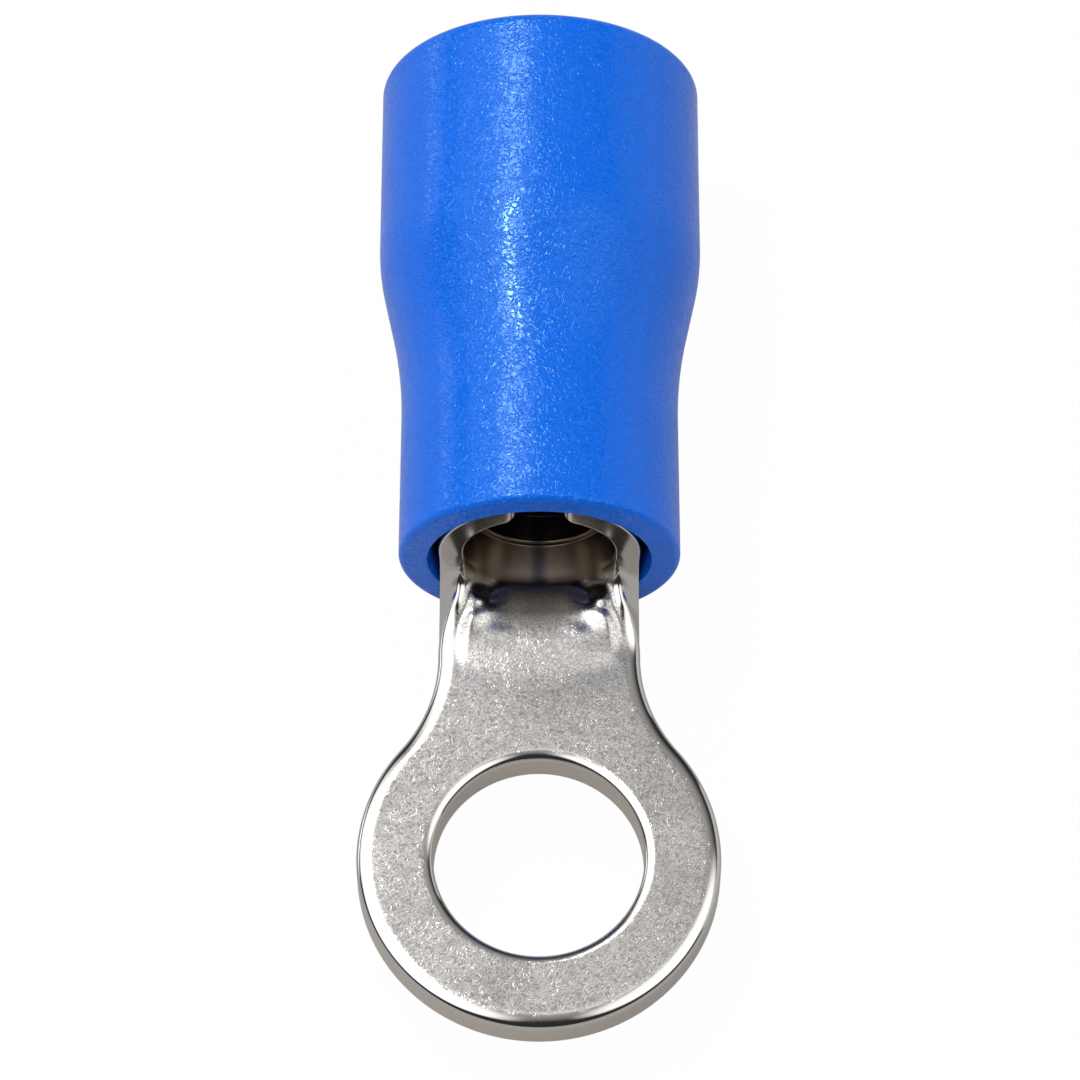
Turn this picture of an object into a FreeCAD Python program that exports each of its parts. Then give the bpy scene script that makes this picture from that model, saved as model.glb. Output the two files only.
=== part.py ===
"""Insulated ring terminal: a tin-plated crimp lug in a blue moulded sleeve.

Millimetres. The origin is the centre of the stud hole on the underside of the tongue. +Z points up through the
hole, to the side that the wings rise from, and +Y points along the barrel to the wire entry.
"""
import FreeCAD
import Part
import math
import os

# Ring tongue
stud_hole_diameter = 3.7
tongue_width = 6.4
sheet_thickness = 0.75
outline_edge_radius = 0.18
hole_edge_radius = 0.12
straight_neck_length = 0.05

# Wings that rise from the neck to the mouth of the barrel
wing_run = 1.45
wing_height = 1.72
mouth_wall = 0.45
mouth_inset = 0.01
wing_stations = 7

# Rolled crimp barrel
barrel_bore_diameter = 2.1
barrel_length = 4.6
seam_gap = 0.85
seam_cut_overrun_length = 1.0
mouth_funnel_length = 0.7
serration_depth = 0.12
serration_land_length = 0.56
serration_groove_length = 0.5
wire_entry_chamfer = 0.2

# Moulded sleeve
hole_centre_to_sleeve = 5.2
barrel_setback = 0.15
sleeve_length = 9.6
front_outer_diameter = 5.0
waist_outer_diameter = 4.95
shoulder_outer_diameter = 5.83
bell_outer_diameter = 5.8
front_length = 3.63
cone_length = 2.12
waist_bend_radius = 8.2
shoulder_bend_radius = 4.5
bell_bore_diameter = 4.3
inner_taper_length = 1.7
front_opening_diameter = 3.98
front_lead_in_length = 0.8
grip_clearance = 0.01
front_rim_radius = 0.12
rear_rim_radius = 0.22
entry_chamfer = 0.12

# Worked out from the sizes above
barrel_radius = barrel_bore_diameter / 2 + sheet_thickness
ring_radius = tongue_width / 2
mouth_y = hole_centre_to_sleeve + barrel_setback
barrel_end_y = mouth_y + barrel_length
wing_start_y = mouth_y - wing_run
sleeve_end_y = hole_centre_to_sleeve + sleeve_length
join_tolerance = 1e-4
MIDWAY = math.sqrt(0.5)


def vec(x, y, z):
    return FreeCAD.Vector(x, y, z)


def arc(start, middle, end):
    return Part.Arc(start, middle, end).toShape()


def polyline(points):
    return [Part.makeLine(a, b) for a, b in zip(points, points[1:])]


def edges_at_height(solid, height):
    """The edges of a solid that lie in one level plane."""
    found = []
    for edge in solid.Edges:
        if all(abs(vertex.Z - height) < 1e-6 for vertex in edge.Vertexes):
            found.append(edge)
    return found


def tongue_outline():
    """The ring, with a concave fillet on each side that runs out tangent to the neck."""
    neck_y = wing_start_y - straight_neck_length
    spread = ring_radius - barrel_radius
    fillet_radius = (neck_y ** 2 - ring_radius ** 2 + barrel_radius ** 2) / (2 * spread)
    centre = vec(barrel_radius + fillet_radius, neck_y, 0)
    touch = centre * (ring_radius / centre.Length)
    half_turn = math.atan2(centre.y - touch.y, centre.x - touch.x) / 2
    middle = centre - vec(math.cos(half_turn), math.sin(half_turn), 0) * fillet_radius

    def mirrored(point):
        return vec(-point.x, point.y, 0)

    neck_start = vec(barrel_radius, neck_y, 0)
    neck_end = vec(barrel_radius, wing_start_y, 0)
    edges = [
        arc(touch, vec(0, -ring_radius, 0), mirrored(touch)),
        arc(mirrored(touch), mirrored(middle), mirrored(neck_start)),
        *polyline([mirrored(neck_start), mirrored(neck_end), neck_end, neck_start]),
        arc(neck_start, middle, touch),
    ]
    return Part.Wire(edges)


def tongue():
    """The flat ring and neck, blanked from above, so that the top edges are rolled and the lower ones are sharp."""
    plate = Part.Face(tongue_outline()).extrude(vec(0, 0, sheet_thickness))
    rim = [edge for edge in edges_at_height(plate, sheet_thickness) if edge.CenterOfMass.y < wing_start_y - 1e-6]
    plate = plate.makeFillet(outline_edge_radius, rim)
    hole = Part.makeCylinder(stud_hole_diameter / 2, sheet_thickness)
    plate = plate.cut(hole)
    hole_rim = [
        edge
        for edge in edges_at_height(plate, sheet_thickness)
        if isinstance(edge.Curve, Part.Circle) and abs(edge.Curve.Radius - stud_hole_diameter / 2) < 1e-6
    ]
    return plate.makeFillet(hole_edge_radius, hole_rim)


def sheet_section(y, half_width, half_angle, outer_depth, inner_depth):
    """A section across the strip, bent to an arc, with its two inner corners rolled."""
    bend_radius = half_width / math.sin(half_angle) if half_angle else None

    def point(depth, share, inset=0.0):
        if bend_radius is None:
            return vec(share * (half_width - inset), y, depth)
        radius = bend_radius - depth
        angle = share * (half_angle - inset / radius)
        return vec(radius * math.sin(angle), y, bend_radius - radius * math.cos(angle))

    def across(depth, inset=0.0):
        left, right = point(depth, -1, inset), point(depth, 1, inset)
        if bend_radius is None:
            return Part.makeLine(left, right)
        return arc(left, point(depth, 0), right)

    roll = outline_edge_radius
    part_roll = roll * (1 - MIDWAY)
    edges = [across(outer_depth), across(inner_depth, roll)]
    for side in (-1, 1):
        edges.append(Part.makeLine(point(outer_depth, side), point(inner_depth - roll, side)))
        edges.append(
            arc(
                point(inner_depth - roll, side),
                point(inner_depth - part_roll, side, part_roll),
                point(inner_depth, side, roll),
            )
        )
    return Part.Wire(Part.__sortEdges__(edges))


def wings():
    """The strip between the neck and the barrel: its edges rise along an oval fillet, and it thins into the mouth."""
    mouth_angle = 2 * math.atan2(wing_height, barrel_radius)
    sections = []
    for station in range(wing_stations):
        turn = math.pi / 2 * station / (wing_stations - 1)
        along = math.sin(turn)
        ease = along * along * (3 - 2 * along)
        rise = wing_height * (1 - math.cos(turn))
        half_width = barrel_radius * (1 - ease * (1 - math.sin(mouth_angle)))
        thickness = sheet_thickness + (mouth_wall - sheet_thickness) * ease
        sections.append(
            sheet_section(
                wing_start_y + wing_run * along,
                half_width,
                2 * math.atan2(rise, barrel_radius),
                mouth_inset * ease,
                thickness - mouth_inset * ease,
            )
        )
    return Part.makeLoft(sections, True, False)


def about_barrel_axis(points_and_arcs):
    """Revolves a closed profile, drawn as (y, radius) pairs, about the axis of the barrel."""
    face = Part.Face(Part.Wire(points_and_arcs))
    solid = face.revolve(vec(0, 0, 0), vec(0, 1, 0), 360)
    solid.translate(vec(0, 0, barrel_radius))
    return solid


def barrel():
    """The rolled tube: a funnelled mouth, serration grooves, a chamfered wire entry and an open butt seam."""
    land_radius = barrel_bore_diameter / 2
    groove_radius = land_radius + serration_depth
    y = mouth_y + mouth_funnel_length
    inner = [(mouth_y, barrel_radius - mouth_wall), (y, groove_radius)]
    pitch = serration_land_length + serration_groove_length
    groove_count = int((barrel_end_y - wire_entry_chamfer - serration_land_length - y) / pitch)
    for _ in range(groove_count):
        inner.append((y, land_radius))
        inner.append((y + serration_land_length, land_radius))
        inner.append((y + serration_land_length, groove_radius))
        inner.append((y + pitch, groove_radius))
        y += pitch
    inner.append((y, land_radius))
    inner.append((barrel_end_y - wire_entry_chamfer, land_radius))
    inner.append((barrel_end_y, land_radius + wire_entry_chamfer))
    corners = inner + [(barrel_end_y, barrel_radius), (mouth_y, barrel_radius), inner[0]]
    tube = about_barrel_axis(polyline([vec(0, along, radius) for along, radius in corners]))
    return tube.cut(seam_cutter(land_radius))


def seam_cutter(land_radius):
    """The open seam's gap, with the bore side of both seam edges rounded."""
    half_gap = seam_gap / 2
    roll = outline_edge_radius
    inner_height = barrel_radius + math.sqrt(land_radius ** 2 - half_gap ** 2)
    top = 3 * barrel_radius
    start_y = mouth_y - seam_cut_overrun_length
    part_roll = roll * (1 - MIDWAY)

    def at(x, z):
        return vec(x, start_y, z)

    edges = polyline([at(half_gap, inner_height + roll), at(half_gap, top), at(-half_gap, top)])
    edges += polyline([at(-half_gap, top), at(-half_gap, inner_height + roll)])
    edges.append(
        arc(
            at(-half_gap, inner_height + roll),
            at(-half_gap - part_roll, inner_height + part_roll),
            at(-half_gap - roll, inner_height),
        )
    )
    edges += polyline(
        [
            at(-half_gap - roll, inner_height),
            at(-half_gap - roll, barrel_radius),
            at(half_gap + roll, barrel_radius),
            at(half_gap + roll, inner_height),
        ]
    )
    edges.append(
        arc(
            at(half_gap + roll, inner_height),
            at(half_gap + part_roll, inner_height + part_roll),
            at(half_gap, inner_height + roll),
        )
    )
    return Part.Face(Part.Wire(edges)).extrude(vec(0, barrel_length + 2 * seam_cut_overrun_length, 0))


def ring_terminal():
    """The whole strip as one solid."""
    strip = tongue().fuse([wings(), barrel()], join_tolerance)
    return strip.removeSplitter().Solids[0]


def bend(before, corner, after, radius):
    """An arc that rounds the corner between two straight runs, given as (y, radius) points."""
    here = vec(0, *corner)
    back = (vec(0, *before) - here).normalize()
    ahead = (vec(0, *after) - here).normalize()
    half_opening = back.getAngle(ahead) / 2
    reach = radius / math.tan(half_opening)
    start, end = here + back * reach, here + ahead * reach
    towards_centre = (back + ahead).normalize()
    middle = here + towards_centre * (radius / math.sin(half_opening) - radius)
    return start, arc(start, middle, end), end


def rim(start, corner, end):
    """A quarter round between two (y, radius) points, on the outer side of their shared corner."""
    centre = (start[0] + end[0] - corner[0], start[1] + end[1] - corner[1])
    middle = [centre[i] + (corner[i] - centre[i]) * MIDWAY for i in (0, 1)]
    return arc(vec(0, *start), vec(0, *middle), vec(0, *end))


def insulating_sleeve():
    """The moulded tube: a front that grips the barrel, a cone, and a bell for the wire's insulation."""
    front_y = hole_centre_to_sleeve
    front_radius = front_outer_diameter / 2
    bell_radius = bell_outer_diameter / 2
    bell_bore = bell_bore_diameter / 2
    grip_radius = barrel_radius + grip_clearance
    opening_radius = front_opening_diameter / 2
    waist = (front_y + front_length, waist_outer_diameter / 2)
    shoulder = (waist[0] + cone_length, shoulder_outer_diameter / 2)
    inner_taper_end = (barrel_end_y + inner_taper_length, bell_bore)

    front_face = (front_y, front_radius - front_rim_radius)
    front_side = (front_y + front_rim_radius, front_radius)
    rear_side = (sleeve_end_y - rear_rim_radius, bell_radius)
    rear_face = (sleeve_end_y, bell_radius - rear_rim_radius)
    entry_face = (sleeve_end_y, bell_bore + entry_chamfer)
    entry_side = (sleeve_end_y - entry_chamfer, bell_bore)

    def straight(*points):
        return polyline([vec(0, *point) for point in points])

    edges = straight((front_y, opening_radius), front_face)
    edges.append(rim(front_face, (front_y, front_radius), front_side))
    waist_start, waist_arc, waist_end = bend(front_side, waist, shoulder, waist_bend_radius)
    shoulder_start, shoulder_arc, shoulder_end = bend(waist, shoulder, rear_side, shoulder_bend_radius)
    edges += polyline([vec(0, *front_side), waist_start])
    edges += [waist_arc, *polyline([waist_end, shoulder_start]), shoulder_arc]
    edges += polyline([shoulder_end, vec(0, *rear_side)])
    edges.append(rim(rear_side, (sleeve_end_y, bell_radius), rear_face))
    edges += straight(
        rear_face,
        entry_face,
        entry_side,
        inner_taper_end,
        (barrel_end_y, grip_radius),
        (front_y + front_lead_in_length, grip_radius),
        (front_y, opening_radius),
    )
    return about_barrel_axis(edges)


os.makedirs("parts", exist_ok=True)
pieces = {"ring_terminal": ring_terminal(), "insulating_sleeve": insulating_sleeve()}
for name, shape in pieces.items():
    shape.exportStep(f"parts/{name}.step")
    print(name, len(shape.Solids), shape.isValid(), round(shape.Volume, 3), shape.optimalBoundingBox())
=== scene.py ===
"""Insulated ring terminal: the dressed model of a tin-plated crimp lug in a blue moulded sleeve.

Everything is in metres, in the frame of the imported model: the origin is the centre of the stud hole on the
underside of the tongue, +Z points up through the hole and +Y runs along the barrel to the wire entry.
"""
import math
from collections import namedtuple

import bmesh
import bpy
from mathutils import Matrix, Vector


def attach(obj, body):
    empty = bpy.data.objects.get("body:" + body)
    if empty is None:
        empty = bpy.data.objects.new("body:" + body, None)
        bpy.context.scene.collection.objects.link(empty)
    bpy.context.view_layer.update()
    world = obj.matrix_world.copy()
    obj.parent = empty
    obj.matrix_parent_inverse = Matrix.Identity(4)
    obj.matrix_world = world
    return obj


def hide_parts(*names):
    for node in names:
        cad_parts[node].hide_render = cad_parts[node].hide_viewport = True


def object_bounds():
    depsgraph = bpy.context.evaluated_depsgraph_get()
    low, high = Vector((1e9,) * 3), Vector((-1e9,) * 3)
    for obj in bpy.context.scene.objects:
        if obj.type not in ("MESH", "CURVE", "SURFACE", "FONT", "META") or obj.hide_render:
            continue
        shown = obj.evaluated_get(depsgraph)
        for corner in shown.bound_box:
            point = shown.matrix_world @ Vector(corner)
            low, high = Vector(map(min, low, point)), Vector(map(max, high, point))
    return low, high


bl_info = {
    "name": "Insulated Ring Terminal",
    "version": (1, 0, 0),
    "blender": (4, 5, 0),
    "location": "3D View > Sidebar > Ring Terminal",
    "description": "Makes a tin-plated ring terminal in a flared insulating sleeve, on a plain white stage",
    "category": "Add Mesh",
}

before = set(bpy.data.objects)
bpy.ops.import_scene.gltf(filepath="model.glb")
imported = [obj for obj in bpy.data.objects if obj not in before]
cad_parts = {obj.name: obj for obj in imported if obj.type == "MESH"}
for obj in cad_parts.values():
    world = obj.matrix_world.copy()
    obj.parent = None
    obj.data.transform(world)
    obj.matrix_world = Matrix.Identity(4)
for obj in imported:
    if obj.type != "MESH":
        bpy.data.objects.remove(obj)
cad_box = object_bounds()
MM = 0.001
BODY = "root"


def length(name, description, default):
    return bpy.props.FloatProperty(
        name=name, description=description, default=default, min=0.0, unit="LENGTH", precision=5
    )


def angle_size(name, description, default):
    return bpy.props.FloatProperty(name=name, description=description, default=default, subtype="ANGLE")


def share(name, description, default, top=1.0):
    return bpy.props.FloatProperty(name=name, description=description, default=default, min=0.0, max=top)


def colour(name, description, default):
    return bpy.props.FloatVectorProperty(
        name=name, description=description, default=default, size=3, subtype="COLOR", min=0.0, max=1.0
    )


class TongueSizes(bpy.types.PropertyGroup):
    hole_diameter: length("Stud hole", "Diameter of the hole for the stud", 0.0037)
    width: length("Width", "Width across the ring", 0.0064)
    thickness: length("Sheet", "Thickness of the sheet", 0.00075)
    edge_roll: length("Edge roll", "Width of the rounding that blanking leaves on the top edge", 0.00029)
    hole_roll: length("Hole roll", "Width of the rounding on the top edge of the hole", 0.0002)
    edge_corner: length("Edge corner", "Radius at which that rounding turns into the wall", 0.00014)
    edge_fall: angle_size(
        "Edge fall", "Steepest slope of the rounding ahead of its corner", math.radians(22)
    )
    lower_round: length("Lower round", "Small radius that the plating leaves on the lower edges", 0.00003)
    neck_straight: length("Straight neck", "Length of straight neck ahead of the wings", 0.00005)


class BarrelSizes(bpy.types.PropertyGroup):
    bore: length("Bore", "Diameter of the bore on its lands", 0.0021)
    length: length("Length", "Length of the rolled barrel", 0.0046)
    mouth: length("Mouth", "Distance from the hole's centre to the mouth of the barrel", 0.00535)
    wing_run: length("Wing run", "Length over which the strip rises to the mouth", 0.00145)
    wing_height: length("Wing height", "Height that the strip's edges reach at the mouth", 0.00172)
    mouth_wall: length("Mouth wall", "Wall left at the coined mouth", 0.00045)
    mouth_roll: length("Mouth roll", "Radius on the inner edge of the mouth", 0.00005)
    funnel: length("Funnel", "Length of the funnel behind the mouth", 0.0007)
    seam_gap: length("Seam gap", "Width of the open seam", 0.00085)
    seam_corner: length("Seam corner", "Radius of the strip's corners at the seam", 0.00016)
    groove_depth: length("Groove depth", "Depth of the serration grooves", 0.00012)
    land: length("Land", "Length of each land between two grooves", 0.00056)
    groove: length("Groove", "Length of each serration groove", 0.0005)
    land_round: length("Land round", "Radius on the corners of the lands", 0.000045)
    entry_chamfer: length("Entry chamfer", "Chamfer on the bore at the wire entry", 0.0002)


class SleeveSizes(bpy.types.PropertyGroup):
    front: length("Front", "Distance from the hole's centre to the sleeve", 0.0052)
    length: length("Length", "Length of the sleeve", 0.0096)
    front_diameter: length("Front diameter", "Outer diameter of the straight front", 0.005)
    front_length: length("Front length", "Length from the front face to the waist", 0.00363)
    waist_diameter: length("Waist diameter", "Outer diameter where the cone starts", 0.00495)
    waist_bend: length("Waist bend", "Radius that rounds the waist", 0.0082)
    cone_length: length("Cone length", "Length of the cone from the waist to the shoulder", 0.00212)
    shoulder_diameter: length("Shoulder diameter", "Outer diameter where the cone ends", 0.00583)
    shoulder_bend: length("Shoulder bend", "Radius that rounds the shoulder", 0.0045)
    bell_diameter: length("Bell diameter", "Outer diameter of the bell", 0.0058)
    bell_bore: length("Bell bore", "Bore of the bell", 0.0043)
    inner_taper: length("Inner taper", "Length of the taper inside", 0.0017)
    opening: length("Opening", "Diameter of the opening at the front", 0.00398)
    lead_in: length("Lead-in", "Length of the cone inside the opening", 0.0008)
    grip_clearance: length("Grip clearance", "Clearance to the barrel", 0.00001)
    front_rim: length("Front rim", "Radius on the front rim", 0.00012)
    rear_rim: length("Rear rim", "Radius on the rim of the bell", 0.00022)
    entry_chamfer: length("Entry chamfer", "Chamfer on the bore of the bell", 0.00012)
    segments: bpy.props.IntProperty(
        name="Segments", description="Faces around the sleeve", default=224, min=16
    )


class Finishes(bpy.types.PropertyGroup):
    tin: colour("Tin", "Colour of the tin plating", (0.70, 0.677, 0.648))
    # The grain's own pattern, darkened between its ridges with this near black as painted shade in the
    # grooves.
    groove: colour("Grooves", "Colour between the ridges of the grain", (0.1, 0.09, 0.08))
    # Painted shade: a darker brown that stands for the shade and dim reflection in the hammered hollow.
    hollow: colour("Hollow", "Colour of the hammered floor ahead of the barrel", (0.6, 0.53, 0.45))
    cut: colour("Cut edge", "Colour of the sheared walls", (0.74, 0.66, 0.58))
    # Painted shade: a dark brown that stands for the shade inside the barrel and in its mouth.
    bore: colour("Bore", "Colour of the plating inside the barrel", (0.26, 0.22, 0.175))
    blue: colour("Blue", "Colour of the sleeve", (0.0, 0.135, 0.78))
    # Painted shade: near black for the sleeve's bore round the barrel, where only shade falls.
    grip_shade: colour("Grip", "Colour of the sleeve's bore where it holds the barrel", (0.035, 0.03, 0.03))


class StageSettings(bpy.types.PropertyGroup):
    lens: bpy.props.FloatProperty(
        name="Lens", description="Focal length in millimetres", default=184.6, min=10.0
    )
    eye: bpy.props.FloatVectorProperty(
        name="Camera place", description="Place of the camera", default=(0.00001, -0.03678, 0.09057),
        subtype="XYZ",
    )
    pitch: angle_size("Camera pitch", "Angle of the camera from straight down", math.radians(25.525))
    roll: angle_size("Camera roll", "Turn of the camera about its own axis", 0.002)
    floor_side: length("Floor", "Distance from the object to the edges of the floor", 1.2)
    floor: colour("Floor colour", "Colour of the floor", (0.85, 0.85, 0.85))
    sky: share("Sky", "Strength of the studio's even light", 0.49, 5.0)
    ceiling: share("Ceiling", "Strength of the dark ceiling in reflections", 0.03, 5.0)
    lamp_distance: length("Lamp distance", "Distance from the object to the lamps", 0.4)


# Shared helpers


KINDS = ("grain", "cut", "bore", "hollow")


class Shell:
    """Collects the vertices and faces of one closed mesh, with a kind of surface for each vertex."""

    def __init__(self):
        self.points = []
        self.kinds = []
        self.faces = []

    def add(self, point, grain=0.0, cut=0.0, bore=0.0, hollow=0.0):
        self.points.append(point)
        self.kinds.append((grain, cut, bore, hollow))
        return len(self.points) - 1

    def bridge_rows(self, rows, closed=False):
        for first, second in zip(rows, rows[1:]):
            self.bridge(first, second, closed)

    def mesh(self, name):
        """A mesh of the shell in metres, with one attribute for each kind of surface."""
        made = bpy.data.meshes.new(name)
        made.from_pydata([tuple(point * MM) for point in self.points], [], self.faces)
        made.validate()
        for k, kind in enumerate(KINDS):
            field = made.attributes.new(kind, "FLOAT", "POINT")
            field.data.foreach_set("value", [values[k] for values in self.kinds])
        return made

    def bridge(self, first, second, closed=False):
        """Faces between two rows of as many vertices."""
        count = len(first)
        for k in range(count if closed else count - 1):
            m = (k + 1) % count
            ring = []
            for index in (first[k], first[m], second[m], second[k]):
                if index not in ring:
                    ring.append(index)
            if len(ring) > 2:
                self.faces.append(ring)


def blend(a, b, t):
    return a + (b - a) * t


def smooth(t):
    t = min(max(t, 0.0), 1.0)
    return t * t * (3 - 2 * t)


def rising(value, start, run):
    """0 up to start, 1 past start + run, and smooth between."""
    return smooth((value - start) / run)


def spread(start, end, count):
    return [blend(start, end, k / count) for k in range(count + 1)]


def edge_profile(width, corner, fall, steps):
    """Rounding that blanking leaves, as (distance from the flat, drop): a gentle fall, then a corner."""
    corner = min(corner, 0.6 * width)
    gentle = width - corner * (1 - math.sin(fall))
    slope = math.tan(fall) / (2 * gentle)
    half = steps // 2
    pairs = [(gentle * k / half, slope * (gentle * k / half) ** 2) for k in range(half + 1)]
    for k in range(1, steps - half + 1):
        turn = blend(fall, math.pi / 2, k / (steps - half))
        pairs.append((
            width - corner * (1 - math.sin(turn)),
            pairs[half][1] + corner * (math.cos(fall) - math.cos(turn)),
        ))
    return pairs


def close_mesh(mesh):
    """Turns the faces outward, and stops the script if the mesh is open."""
    shape = bmesh.new()
    shape.from_mesh(mesh)
    bmesh.ops.recalc_face_normals(shape, faces=shape.faces)
    if not shape.faces or any(not edge.is_manifold for edge in shape.edges):
        raise RuntimeError(f"{mesh.name} isn't closed")
    if shape.calc_volume(signed=True) < 0:
        bmesh.ops.reverse_faces(shape, faces=shape.faces)
    shape.to_mesh(mesh)
    shape.free()


def link_new(name, data):
    made = bpy.data.objects.new(name, data)
    bpy.context.scene.collection.objects.link(made)
    return made


def remove_old(name):
    old = bpy.data.objects.get(name)
    if old:
        bpy.data.objects.remove(old, do_unlink=True)


# The strip: ring, wings and barrel. Lengths in this section are in mm.


# The floor ahead of the mouth is hammered: a low ramp, then a hollow. These are its slopes along the middle
# line, as (y, slope).
RAMP_SLOPES = (
    (3.05, 0.0), (3.35, 0.05), (3.65, 0.09), (3.85, 0.11), (4.05, 0.08), (4.3, -0.05), (4.6, -0.2),
    (4.85, -0.36), (5.05, -0.56), (5.2, -0.62), (5.3, -0.42), (5.36, -0.2),
)
RAMP_STEP = 0.01
# Beside the middle line the ramp comes later, by this share of the distance squared. That ends towards the
# mouth, from a place on and over a run.
RAMP_BOW = 0.3
RAMP_BOW_ENDS = (4.5, 0.8)
# Half the width of the hollow at the neck and near the mouth, where it narrows as (place, run), and the run
# of its sides.
FLOOR_HALF_WIDTHS = (0.9, 0.45)
FLOOR_NARROWS = (3.9, 0.6)
FLOOR_SIDE = 0.8
# The swelling on both sides of the hollow: its height, and where it starts and ends as (place, run).
FLANK_HEIGHT = 0.11
FLANK_ACROSS = (0.4, 1.1)
FLANK_STARTS = (3.5, 1.2)
FLANK_ENDS = (4.75, 0.5)
# Dents at the barrel's corners: distance from the middle, y, size and depth.
DENTS = (
    (1.12, 5.0, 0.15, -0.05), (1.42, 4.7, 0.13, -0.05), (1.22, 4.46, 0.14, 0.03), (1.3, 4.88, 0.09, 0.03),
)
# The hammered form fades out over these runs, at the strip's edge and at the mouth.
LIFT_EDGE = 0.25
LIFT_END = 0.06

# Faces across the wings, along them, on each upper side of the barrel, round the seam's corners and over the
# upper and the small lower rounding.
ACROSS, WING_ROWS, UPPER, CORNER_ROWS, ROLL_STEPS, LOW_STEPS = 84, 64, 26, 6, 12, 3
# Places of the rings of vertices between the hole and the outline, as shares of the way.
SPOKES = (0, 0.02, 0.06, 0.14, 0.26, 0.4, 0.54, 0.66, 0.74, 0.8, 0.85, 0.89, 0.925, 0.955, 0.98)
# Places of the vertices down the sheared walls, and the share of a rounding over which the grain ends.
WALL_PARTS = (0.0, 0.06, 0.35, 0.65, 0.94, 1.0)
HOLE_PARTS = (0.05, 0.5, 0.95, 1.0)
GRAIN_END = 0.45

# A place on the strip's edge: the sheet's two corners, the vertices of the grids that end there, and the
# width of the upper rounding.
Station = namedtuple("Station", "top bottom top_vertex bottom_vertex roll")


def ramp_line():
    """Height of the middle line above the flat, as (y, height) pairs, from its slopes."""
    y, height = RAMP_SLOPES[0][0], 0.0
    pairs = [(y, height)]
    while y < RAMP_SLOPES[-1][0] - 1e-6:
        for (y0, s0), (y1, s1) in zip(RAMP_SLOPES, RAMP_SLOPES[1:]):
            if y0 <= y < y1:
                slope = blend(s0, s1, (y - y0) / (y1 - y0))
        height += RAMP_STEP * slope
        y += RAMP_STEP
        pairs.append((y, height))
    return pairs


RAMP = ramp_line()


class Strip:
    """The bent strip as a surface: u runs across it along its underside, y along it, depth through it."""

    def __init__(self, tongue, barrel):
        self.sheet = tongue.thickness / MM
        self.radius = barrel.bore / MM / 2 + self.sheet
        self.mouth = barrel.mouth / MM
        self.run = barrel.wing_run / MM
        self.height = barrel.wing_height / MM
        self.start = self.mouth - self.run
        self.wall = barrel.mouth_wall / MM
        self.mouth_angle = 2 * math.atan2(self.height, self.radius)
        self.mouth_u = self.mouth_angle * self.radius
        self.ease_width = 0.2

    def wing(self, y):
        """Curvature, edge place and sheet thickness of the wings at y."""
        along = min(max((y - self.start) / self.run, 0.0), 1.0)
        rise = self.height * (1 - math.sqrt(1 - along * along))
        angle = 2 * math.atan2(rise, self.radius)
        half_width = self.radius * (1 - smooth(along) * (1 - math.sin(self.mouth_angle)))
        curvature = math.sin(angle) / half_width
        edge_u = angle / curvature if curvature > 1e-7 else half_width
        return curvature, edge_u, blend(self.sheet, self.wall, rising(along, 0.55, 0.45))

    def curvature(self, y):
        return self.wing(y)[0] if y < self.mouth else 1 / self.radius

    def ramp(self, u, y):
        """Height of the ramp, which comes later beside the middle line."""
        near = max(RAMP[0][0], y - RAMP_BOW * u * u * (1 - rising(y, *RAMP_BOW_ENDS)))
        for (y0, h0), (y1, h1) in zip(RAMP, RAMP[1:]):
            if y0 <= near <= y1:
                return blend(h0, h1, (near - y0) / (y1 - y0))
        return 0.0

    def lift(self, u, y):
        """How far the hammered top lies above the plain sheet."""
        if y <= RAMP[0][0] or y >= self.mouth:
            return 0.0
        side = abs(u)
        sheet = self.wing(y)[2] if y > self.start else self.sheet
        half_width = blend(*FLOOR_HALF_WIDTHS, rising(y, *FLOOR_NARROWS))
        rise = (self.sheet + self.ramp(u, y) - sheet) * (1 - rising(side, half_width, FLOOR_SIDE))
        flank = FLANK_HEIGHT * rising(side, *FLANK_ACROSS)
        rise += flank * rising(y, *FLANK_STARTS) * (1 - rising(y, *FLANK_ENDS))
        for x, along, size, depth in DENTS:
            rise += depth * math.exp(-((side - x) ** 2 + (y - along) ** 2) / (2 * size ** 2))
        return rise

    def raw(self, u, y, depth):
        """Place (x, z) of a point of the bent strip."""
        curvature = self.curvature(y)
        if curvature < 1e-7:
            return u, depth
        bend = 1 / curvature
        return (bend - depth) * math.sin(u / bend), bend - (bend - depth) * math.cos(u / bend)

    def at(self, u, y, depth_at):
        """A point of the strip, with the crease between wings and barrel eased away from the edges."""
        width = self.ease_width * (1 - rising(abs(u) / self.mouth_u, 0.6, 0.4))
        if width < 1e-4 or y < self.start - 0.01 or y > self.mouth + self.ease_width + 0.01:
            x, z = self.raw(u, y, depth_at(y))
            return Vector((x, y, z))
        total = x = z = 0.0
        for k in range(-4, 5):
            weight = 1 - abs(k) / 5
            near = max(self.start, y + width * k / 4)
            near_x, near_z = self.raw(u, near, depth_at(near))
            x, z, total = x + weight * near_x, z + weight * near_z, total + weight
        return Vector((x / total, y, z / total))


def bore_corners(tongue, barrel):
    """Corners of the barrel's inside as (y, radius, rounding), from the mouth to the wire entry."""
    land_radius = barrel.bore / MM / 2
    groove_radius = land_radius + barrel.groove_depth / MM
    start = barrel.mouth / MM
    end = start + barrel.length / MM
    land, pitch = barrel.land / MM, (barrel.land + barrel.groove) / MM
    chamfer = barrel.entry_chamfer / MM
    land_round, groove_round, funnel_round = barrel.land_round / MM, 0.02, 0.012
    y = start + barrel.funnel / MM
    mouth_radius = land_radius + (tongue.thickness - barrel.mouth_wall) / MM
    corners = [(start, mouth_radius, 0), (y, groove_radius, funnel_round)]
    for _ in range(int((end - chamfer - land - y) / pitch)):
        corners += [
            (y, land_radius, land_round), (y + land, land_radius, land_round),
            (y + land, groove_radius, groove_round), (y + pitch, groove_radius, groove_round),
        ]
        y += pitch
    corners += [(y, land_radius, land_round), (end - chamfer, land_radius, land_round)]
    return corners + [(end, land_radius + chamfer, 0)]


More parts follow.
